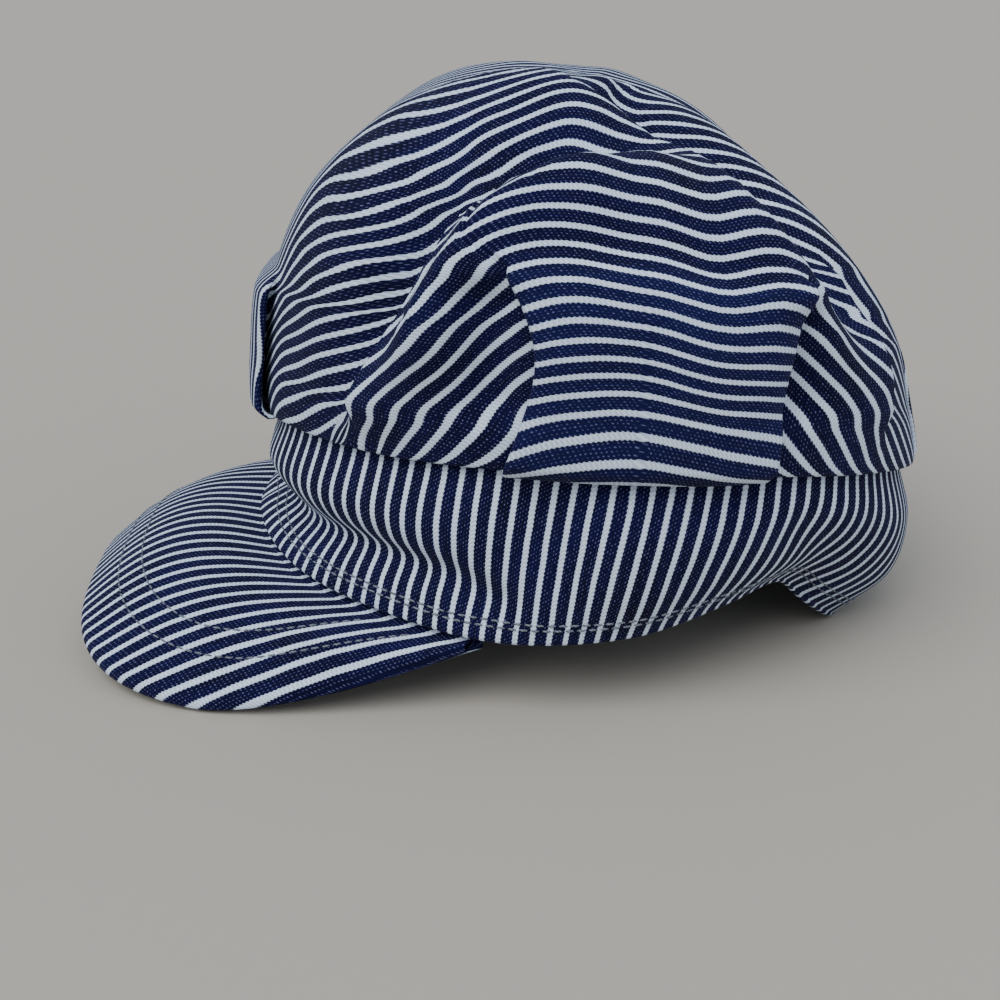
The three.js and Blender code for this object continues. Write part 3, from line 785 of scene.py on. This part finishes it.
print("slip on the left shoulder:", slip_at(np.array([70.0]), 71.0).round(1), "mm")

# %% Turn and slip the flat pattern
FOLD_LENGTH = 2 * (LAYER_STEPS + 1) + (TURN_STEPS - 1) + TURN_STEPS + 2
FOLD_STARTS = PANEL_STEPS + FOLD_LENGTH + CORNER_STEPS
LAP_OPENS = (94, 113)
PLEAT_OPENS = (104, 113)


def across_fold(values, starts, share, opened):
    """In the hidden part of an opened fold, goes from the values before it to those after it."""
    inside = slice(starts, starts + FOLD_LENGTH)
    bridge = mix(values[:, starts - 1, None], values[:, inside.stop, None], share)
    values[:, inside] = mix(values[:, inside], bridge, opened)


def let_cloth_slip(flat, angle, rings):
    """Turns and slips the flat pattern of the left half, and leaves the right half as it is."""
    cloth = np.broadcast_to(rings[:, None], angle.shape)
    named = ["upper", "shoulder", "belly", "low"]
    columns = [around(TURNED, name, angle).reshape(-1) for name in named]
    columns = [0 * columns[0], 0 * columns[0], *columns, columns[-1]]
    turn = curve_through(TURN_PLACES, columns, cloth) * DEGREE
    slip = slip_at(angle, cloth)
    half = angle.shape[1] // 2
    behind = half // 2 + PANEL_STEPS
    hidden = smooth(1, FOLD_LENGTH - TURN_STEPS - 2, np.arange(FOLD_LENGTH))
    lap_opened = smooth(*LAP_OPENS, rings)[:, None]
    pleat_opened = smooth(*PLEAT_OPENS, rings)[:, None]
    slip[:, :FOLD_STARTS] *= 1 - lap_opened
    slip[:, behind + FOLD_LENGTH :] *= 1 - pleat_opened
    slip[:, half:] = 0
    turn[:, FOLD_STARTS + FOLD_LENGTH : half // 2] = 0
    across_fold(slip, FOLD_STARTS, hidden, lap_opened)
    across_fold(slip, behind, 1 - hidden[::-1], pleat_opened)
    across_fold(turn, FOLD_STARTS, hidden, 1.0)
    x, y = flat[..., 0], flat[..., 1]
    turned = [x * np.cos(turn) - y * np.sin(turn), y * np.cos(turn) + x * np.sin(turn) - slip]
    return np.stack(turned, -1)


even_flat = crown_flat
crown_flat = let_cloth_slip(even_flat, crown_angle, rings)
moved = np.linalg.norm(crown_flat - even_flat, axis=-1)
print("turning and slipping moved the pattern by up to", moved.max().round(0), "mm")

# %% [markdown]
# Round the edges of the pleats
# At the edge of a pleat's panel the cloth turns under. A stripe goes over such an edge without a
# bend, as ink on folded paper does. So from each edge the flat pattern is carried straight on, by
# the length of the cloth that has gone round it.

# %% Carry the stripes round the pleats' edges
EDGE_WALK = TURN_STEPS + LAYER_STEPS + 3


def wrap_edges(flat, place, rings):
    """From the edge of each panel inwards, the flat cloth goes straight on."""
    per_quarter = (place.shape[1] - 1) // 4
    for quarter in range(4):
        ends = ((PLEATS[quarter], quarter * per_quarter + PANEL_STEPS, 1),
                (PLEATS[(quarter + 1) % 4], (quarter + 1) * per_quarter - PANEL_STEPS, -1))
        for pleat, top, step in ends:
            walk = [top + step * k for k in range(EDGE_WALK)]
            edge = flat[:, walk[1], None]
            outward = unit(edge - flat[:, walk[0], None])
            lengths = np.cumsum(np.linalg.norm(np.diff(place[:, walk[1:]], axis=1), axis=2), 1)
            opened = smooth(pleat["opens"], pleat["opens"] + PLEAT_OPENING, rings)[:, None, None]
            flat[:, walk[2:]] = mix(flat[:, walk[2:]], edge + outward * lengths[..., None], opened)
    return flat


crown_flat = wrap_edges(crown_flat, crown_place, rings)
print("stripes go straight on over", 2 * len(PLEATS), "edges")

# %% [markdown]
# From numbers to a mesh
# Blender's grid operator gives a flat sheet of squares. Each of its points is moved to its place on
# the shaped cloth, and its place on the flat cloth goes into the UV map. Where the sheet's ends
# meet, and at the middle of the disc, points that fall together are merged.

# %% Grid helper
def cloth_piece(name, place, flat, wear, middle):
    """A mesh object from a grid of places in mm, its flat pattern in mm, its wear and its middle."""
    rows, columns = place.shape[:2]
    bm = bmesh.new()
    uv = bm.loops.layers.uv.new("cloth")
    worn = bm.verts.layers.float.new(WEAR_NAME)
    bmesh.ops.create_grid(bm, x_segments=columns - 1, y_segments=rows - 1, size=1.0)
    where = {}
    for vertex in bm.verts:
        c = round((vertex.co.x + 1) / 2 * (columns - 1))
        r = round((vertex.co.y + 1) / 2 * (rows - 1))
        where[vertex] = (r, c)
        vertex.co = (Vector(place[r, c]) + FRONT_TO_MIDDLE) * MM
        vertex[worn] = float(wear[r, c])
    for face in bm.faces:
        for loop in face.loops:
            loop[uv].uv = Vector(flat[where[loop.vert]]) * MM
        face.smooth = True
    bmesh.ops.remove_doubles(bm, verts=bm.verts, dist=1e-6)
    bmesh.ops.dissolve_degenerate(bm, edges=bm.edges, dist=1e-7)
    bmesh.ops.recalc_face_normals(bm, faces=bm.faces)
    inside = Vector(middle) * MM
    top = max(bm.faces, key=lambda face: face.calc_center_median().z)
    if (top.calc_center_median() - inside).dot(top.normal) < 0:
        bmesh.ops.reverse_faces(bm, faces=bm.faces)
    mesh = bpy.data.meshes.new(name)
    bm.to_mesh(mesh)
    bm.free()
    piece = bpy.data.objects.new(name, mesh)
    piece.data.materials.append(DENIM)
    bpy.context.collection.objects.link(piece)
    return piece


print("cloth pieces carry the attribute", WEAR_NAME)

# %% Make the crown
CLOTH_THICKNESS = 0.8
WORN_FROM = 2.0
WORN_OVER = 5.0
MOST_WORN = 0.6
WORN_SHARE = 0.6

crown_wear = WORN_SHARE * np.clip((crown_height - WORN_FROM) / WORN_OVER, 0, MOST_WORN)
crown = cloth_piece("denim_crown", crown_place, crown_flat, crown_wear, (25, 0, 60))
wall = crown.modifiers.new("thickness", "SOLIDIFY")
wall.thickness = CLOTH_THICKNESS * MM
wall.offset = -1
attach(crown, "root")
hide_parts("crown")
print("crown faces", len(crown.data.polygons))

# %% [markdown]
# The band
# The band is a strip of the same cloth, doubled, with its stripes upright. Its hem is a fold, not a
# cut edge. So its section is one closed loop: down the outside, round the hem and up the inside.
# The grid goes round that loop and round the head, and both ways its ends are merged.

# %% Band sections
BAND_SECTIONS = table(
    "at bulgeR waistR hemR hemZ lean",
    [
        (0, 93, 89, 98, 31, 0),
        (22, 93, 89, 95, 26.5, 0),
        (45, 90, 88, 91, 24, 0),
        (68, 88, 88, 88, 21, 5),
        (90, 88, 87, 83, 22, 11),
        (112, 89.5, 85.5, 77, 25.5, 13),
        (128, 91, 85, 74, 25, 12),
        (145, 93, 87, 74, 10, 8),
        (160, 95, 91, 77, 0, 3),
        (180, 96, 92, 80, 0, 0),
        (200, 95, 91, 78, 0, 0),
        (216, 93, 87, 75, 9, 0),
        (234, 91, 85, 76, 22, 0),
        (250, 89, 86, 79, 25, 0),
        (270, 88, 87, 83, 26, 0),
        (292, 88, 88, 88, 28, 0),
        (315, 90, 88, 91, 32, 0),
        (338, 93, 89, 95, 34, 0),
    ],
)
print("band sections at", len(BAND_SECTIONS), "angles")

# %% Dent the band
DENT_FADE = 0.15
BAND_DENTS = table(
    "push half_angle half_height path",
    [
        (-3.2, 5, 0.11, [(2, 0.8), (22, 0.72), (40, 0.66), (58, 0.68), (66, 0.78)]),
        (1.6, 7, 0.2, [(10, 0.42), (34, 0.38), (54, 0.36)]),
        (-1.4, 6, 0.22, [(74, 0.12), (76, 0.5)]),
        (1.0, 7, 0.3, [(88, 0.3), (90, 0.7)]),
        (-1.5, 5, 0.2, [(120, 0.45), (130, 0.75), (136, 0.95)]),
        (1.5, 8, 0.25, [(146, 0.45), (150, 0.7)]),
        (-1.8, 7, 0.2, [(188, 0.5), (206, 0.6)]),
        (-1.8, 7, 0.2, [(236, 0.5), (250, 0.7)]),
        (-2.2, 6, 0.14, [(300, 0.62), (322, 0.7), (340, 0.76)]),
    ],
)


def band_relief(angle, down):
    """How far the dents and swells push the band out. They fade at its sewn top edge."""
    relief = 0 * angle * down
    for dent in BAND_DENTS:
        places = np.array(dent["path"], float)
        at = np.linspace(0, len(places) - 1, FOLD_STEPS * (len(places) - 1) + 1)
        nearest = np.full(relief.shape, np.inf)
        turns, heights = [np.interp(at, np.arange(len(places)), column) for column in places.T]
        for turn, height in zip(turns, heights):
            turned = np.mod(angle - turn + 180, 360) - 180
            away = (turned / dent["half_angle"]) ** 2 + ((down - height) / dent["half_height"]) ** 2
            nearest = np.minimum(nearest, away)
        relief += dent["push"] * np.exp(-nearest)
    return relief * smooth(0, DENT_FADE, down)


print("dents in the band:", len(BAND_DENTS))

# %% Shape the band
BAND_WALL = 2.4
SEAM_INSET = 1.0
BAND_DOWN = [0, 0.34, 0.7, 1]
BAND_COLUMNS = 300
BAND_SIDE_STEPS = 34
HEM_STEPS = 6


def band_point(angle, down, depth):
    """A point of the band at an angle, a share of the way down and a depth behind its face."""
    angle, down, depth = np.broadcast_arrays(np.asarray(angle, float), down, depth)

    def read(column):
        return around(BAND_SECTIONS, column, angle).reshape(-1)

    top_r = around(CROWN_SECTIONS, "seamR", angle).reshape(-1) - SEAM_INSET
    top_z = around(CROWN_SECTIONS, "seamZ", angle)
    radii = [top_r, read("bulgeR"), read("waistR"), read("hemR")]
    radius = curve_through(BAND_DOWN, radii, down) + band_relief(angle, down)
    hem_z = np.maximum(0, around(BAND_SECTIONS, "hemZ", angle))
    return on_ring(angle, radius - depth, mix(top_z, hem_z + BAND_WALL / 2, down))


def shape_band():
    angle = np.linspace(0, 360, BAND_COLUMNS + 1)
    down = np.linspace(0, 1, BAND_SIDE_STEPS + 1)
    half = np.linspace(0, pi, HEM_STEPS + 1)[1:-1]
    radius = BAND_WALL / 2
    rows = [band_point(angle, share, 0.0) for share in down]
    hem = [band_point(angle, 1.0, radius * (1 - np.cos(turn))) for turn in half]
    for points, turn in zip(hem, half):
        points[:, 2] -= radius * np.sin(turn)
    rows += hem
    rows += [band_point(angle, share, BAND_WALL) for share in down[::-1]]
    rows += [rows[0].copy()]
    return np.array(rows)


band_place = shape_band()
print("band grid", band_place.shape)

# %% Flat pattern of the band
MEASURED_ROW = 4
LEAN_DEPTH = 50.0


def flat_band(place):
    """The strip laid flat: stripes run across it, so U is down the band and V along it."""
    along = np.cumsum(np.linalg.norm(np.diff(place[MEASURED_ROW], axis=0), axis=1))
    along = np.concatenate([[0], along])
    down = np.cumsum(np.linalg.norm(np.diff(place, axis=0), axis=2), 0)
    down = np.concatenate([np.zeros((1, place.shape[1])), down])
    lean = around(BAND_SECTIONS, "lean", np.linspace(0, 360, place.shape[1]))
    return np.stack([down, along + lean * down / LEAN_DEPTH], -1)


band_flat = flat_band(band_place)
band = cloth_piece("denim_band", band_place, band_flat, 0 * band_place[..., 0], (25, 0, 40))
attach(band, "root")
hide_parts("band")
print("the band is", band_flat[0, -1, 1].round(0), "mm round")

# %% [markdown]
# The peak
# The peak is a stiff board covered in the same cloth, with the stripes from front to back. Its
# outline is a squared round. Its surface swells between the band and the outline, and its edge is
# rounded by the cloth that turns round it.

# %% The peak's outline
PEAK = {"temple_x": -42, "tip_x": -149, "half_width": 77.5, "squareness": 3.4, "corner_x": -111,
        "temple_rise": 17, "tip_rise": 9, "side_curve": 1.5, "swell": 9, "tuck": 4, "most_tuck": 0.9,
        "under": 0.35, "temple_angle": 64, "thickness": 3.2}


def peak_outline(share):
    """The outline from one temple (-1) by the tip (0) to the other (1), on the peak's top."""
    turn = share * pi / 2
    power = 2 / PEAK["squareness"]
    reach = PEAK["tip_x"] - PEAK["temple_x"]
    x = PEAK["temple_x"] + reach * np.abs(np.cos(turn)) ** power
    y = PEAK["half_width"] * np.sign(turn) * np.abs(np.sin(turn)) ** power
    back = np.clip((x - PEAK["corner_x"]) / (PEAK["temple_x"] - PEAK["corner_x"]), 0, None)
    corner_reach = (PEAK["corner_x"] - PEAK["temple_x"]) / reach
    corner_y = PEAK["half_width"] * (1 - corner_reach ** PEAK["squareness"]) ** (1 / PEAK["squareness"])
    front = np.where(x < PEAK["corner_x"], np.clip(1 - (y / corner_y) ** 2, 0, None), 0)
    rise = PEAK["temple_rise"] * back ** PEAK["side_curve"] + PEAK["tip_rise"] * front
    return np.stack([x, y, rise + PEAK["thickness"]], -1)


print("the peak's tip is at", peak_outline(0.0).round(1))

# %% Shape the peak
PEAK_COLUMNS = 120
PEAK_STEPS = 26
PEAK_EDGE_STEPS = 6


def peak_point(share, out, depth):
    """A point of the peak: share goes from temple to temple and out from the band to the edge."""
    angle = share * PEAK["temple_angle"]
    hem_r = around(BAND_SECTIONS, "hemR", angle)
    hem_z = around(BAND_SECTIONS, "hemZ", angle) - PEAK["under"]
    seam = on_ring(angle, hem_r - PEAK["tuck"], hem_z)
    outline = peak_outline(-np.sin(angle * DEGREE) / np.sin(PEAK["temple_angle"] * DEGREE))
    width = np.linalg.norm(outline - seam, axis=-1)
    hidden = np.minimum(PEAK["most_tuck"], PEAK["tuck"] / width)
    shown = np.clip((out - hidden) / (1 - hidden), 0, None)
    place = mix(seam, outline, np.asarray(out)[..., None])
    place[..., 2] += PEAK["swell"] * np.sin(pi * shown) * np.cos(share * pi / 2) - depth
    return place


def shape_peak():
    share = np.linspace(-1, 1, PEAK_COLUMNS + 1)
    out = np.linspace(0, 1, PEAK_STEPS + 1)
    radius = PEAK["thickness"] / 2
    seam = peak_point(share, 0 * share, 0)
    whole = np.linalg.norm(peak_point(share, 0 * share + 1, 0) - seam, axis=1)
    round_from = 1 - radius / whole
    rows = [peak_point(share, round_from * step, 0.0) for step in out]
    middle = peak_point(share, round_from, radius)
    outward = unit(peak_point(share, 0 * share + 1, radius) - middle)
    for turn in np.linspace(0, pi, PEAK_EDGE_STEPS + 1)[1:-1]:
        rows.append(middle + radius * (outward * np.sin(turn) + np.array([0, 0, np.cos(turn)])))
    rows += [peak_point(share, round_from * step, PEAK["thickness"]) for step in out[::-1]]
    rows += [rows[0].copy()]
    return np.array(rows)


peak_place = shape_peak()
print("peak grid", peak_place.shape)

# %% Flat pattern of the peak
EDGE_ON_NAVY = -0.3
SIDE_SLOPE = 0.15


def flat_peak(place):
    """Laid out by its width, more so to the sides, where it arches, and straight on round the edge."""
    x, y = place[..., 0], place[..., 1]
    flat = np.stack([x, y * (1 + SIDE_SLOPE * (y / PEAK["half_width"]) ** 2) + EDGE_ON_NAVY], -1)
    last = PEAK_STEPS
    outward = unit(flat[last] - flat[last - 1])
    steps = np.linalg.norm(np.diff(place[last:], axis=0), axis=2)
    flat[last + 1 :] = flat[last] + outward * np.cumsum(steps, 0)[..., None]
    return flat


peak_flat = flat_peak(peak_place)
peak = cloth_piece("denim_peak", peak_place, peak_flat, 0 * peak_place[..., 0], (-80, 0, -60))
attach(peak, "root")
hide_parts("peak")
print("peak faces", len(peak.data.polygons))

# %% [markdown]
# Stitching
# The hem of the band and the peak are top-stitched with grey cotton thread, in two rows each. A
# stitch is a short swollen bit of thread, so each is a small round body stretched along its row.
# There are hundreds, so each has only a few dozen faces, and a row is one joined mesh.

# %% Thread material
PLY_TWISTS = 700.0
PLY_HEIGHT = 0.1
THREAD_PALE = "8a8f98"
THREAD_GROOVE_SHADE = "4b505a"

# Spun cotton is matt, and the twist of its plies shows as fine slanting ridges, raised by a bump, with
# a darker grey painted as shade in the grooves between them
THREAD, tree = new_material("grey_spun_cotton_thread")
place = add_node(tree, "TexCoord").outputs["Object"]
plies = add_node(tree, "TexWave", place, bands_direction="DIAGONAL", Scale=PLY_TWISTS, Distortion=1.5)
ridge = plies.outputs["Fac"]
tint = add_node(tree, "Mix", ridge, data_type="RGBA", in_6=colour(THREAD_GROOVE_SHADE),
                in_7=colour(THREAD_PALE))
bump = add_node(tree, "Bump", Strength=0.6, Distance=PLY_HEIGHT * MM, Height=ridge)
surface = add_node(tree, "BsdfPrincipled", Base_Color=tint.outputs[2], Roughness=0.8, Normal=bump)
add_node(tree, "OutputMaterial", surface)
print("thread has", len(tree.nodes), "nodes")

# %% Rows of stitches
STITCH_PITCH = 2.9
STITCH_LENGTH = 2.5
THREAD_RADIUS = 0.3
STITCH_SIDES = 6
STITCH_RINGS = 5


def along_row(points):
    """Places one stitch pitch apart along a row, with the row's direction there."""
    lengths = np.concatenate([[0], np.cumsum(np.linalg.norm(np.diff(points, axis=0), axis=1))])
    at = np.arange(0.5, lengths[-1] / STITCH_PITCH - 0.5) * STITCH_PITCH
    before, here, after = [np.stack([np.interp(at + step, lengths, axis) for axis in points.T], -1)
                           for step in (-0.5, 0, 0.5)]
    return here, unit(after - before)


def stitches(name, rows):
    bm = bmesh.new()
    size = Matrix.Diagonal((STITCH_LENGTH / 2 * MM, THREAD_RADIUS * MM, THREAD_RADIUS * MM, 1))
    for row in rows:
        for place, way in zip(*along_row(row)):
            turn = Vector(way).to_track_quat("X", "Z").to_matrix().to_4x4()
            spot = Matrix.Translation((Vector(place) + FRONT_TO_MIDDLE) * MM)
            bmesh.ops.create_uvsphere(bm, u_segments=STITCH_SIDES, v_segments=STITCH_RINGS, radius=1,
                                      matrix=spot @ turn @ size)
    for face in bm.faces:
        face.smooth = True
    bmesh.ops.recalc_face_normals(bm, faces=bm.faces)
    mesh = bpy.data.meshes.new(name)
    bm.to_mesh(mesh)
    bm.free()
    piece = bpy.data.objects.new(name, mesh)
    piece.data.materials.append(THREAD)
    bpy.context.collection.objects.link(piece)
    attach(piece, "root")
    return piece


print("a stitch is", STITCH_LENGTH, "mm long, and there is one every", STITCH_PITCH, "mm")

# %% Sew the hem and the peak
SEAM_POINTS = 721
EDGE_POINTS = 401
STITCH_LIFT = 0.1
SIDE_POWER = 6
HEM_ROWS = (3.4, 4.9)
PEAK_ROWS = table("tip drop reach", [(0.8, 1.5, 0.86), (0.68, 4.0, 0.71)])

round_band = np.linspace(0, 360, SEAM_POINTS)
band_height = band_point(round_band, 0.0, 0.0)[:, 2] - band_point(round_band, 1.0, 0.0)[:, 2]
hem_rows = [band_point(round_band, 1 - up / band_height, -STITCH_LIFT) for up in HEM_ROWS]
hem_stitches = stitches("hem_stitches", hem_rows)
peak_rows = []
for row in PEAK_ROWS:
    share = np.linspace(-1, 1, EDGE_POINTS) * row["reach"]
    peak_rows.append(peak_point(share, row["tip"] - row["drop"] * share**SIDE_POWER, -STITCH_LIFT))
peak_stitches = stitches("peak_stitches", peak_rows)
print("stitch faces", sum(len(piece.data.polygons) for piece in (hem_stitches, peak_stitches)))

# %% [markdown]
# Floor and light
# The cap lies on a plain pale floor, large enough to fill the view up to the horizon. A sun lamp
# lights it all alike, and a wide angle makes its shadows as soft as a big studio light's. One from
# the upper left is the key, a weaker one fills from the right, and a pale sky opens the shadows.

# %% Lay the floor
FLOOR_SIZE = 120.0
FLOOR_COLOUR = "b9b1a4"


def plain_floor():
    material, tree = new_material("plain_matte_floor")
    surface = add_node(tree, "BsdfPrincipled", Base_Color=colour(FLOOR_COLOUR), Roughness=0.9,
                       Specular_IOR_Level=0.1)
    add_node(tree, "OutputMaterial", surface)
    mesh = bpy.data.meshes.new("floor")
    bm = bmesh.new()
    bmesh.ops.create_grid(bm, x_segments=1, y_segments=1, size=FLOOR_SIZE / 2)
    bm.to_mesh(mesh)
    bm.free()
    floor = bpy.data.objects.new("floor", mesh)
    floor.data.materials.append(material)
    bpy.context.collection.objects.link(floor)
    floor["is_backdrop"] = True


plain_floor()
print("floor is", FLOOR_SIZE, "m wide")


# %% Hang the lights
def soft_sun(name, comes_from, strength, wide, tint):
    data = bpy.data.lights.new(name, "SUN")
    data.energy = strength
    data.angle = radians(wide)
    data.color = colour(tint)[:3]
    lamp = bpy.data.objects.new(name, data)
    lamp.location = comes_from
    lamp.rotation_euler = (-Vector(comes_from)).to_track_quat("-Z", "Y").to_euler()
    bpy.context.collection.objects.link(lamp)


soft_sun("key", (-0.7, -0.9, 1.3), 2.5, 50, "f8fbff")
soft_sun("fill", (1.2, -0.7, 0.9), 0.7, 90, "e8f0ff")
world = bpy.data.worlds.new("pale_sky")
world.use_nodes = True
world.node_tree.nodes["Background"].inputs["Color"].default_value = colour("d6e3f6")
world.node_tree.nodes["Background"].inputs["Strength"].default_value = 0.55
bpy.context.scene.world = world
print("lights", len(bpy.data.lights))

# %% [markdown]
# Sizes
# The dressed cap must be as large as the solid one, apart from what cloth may stand proud. How far each
# corner of its box moved is printed.

# %% Print how far the box moved
made_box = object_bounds()
for side, before, after in zip(("low", "high"), solid_box, made_box):
    print(side, "corner moved by", [round((b - a) / MM, 1) for a, b in zip(before, after)], "mm")
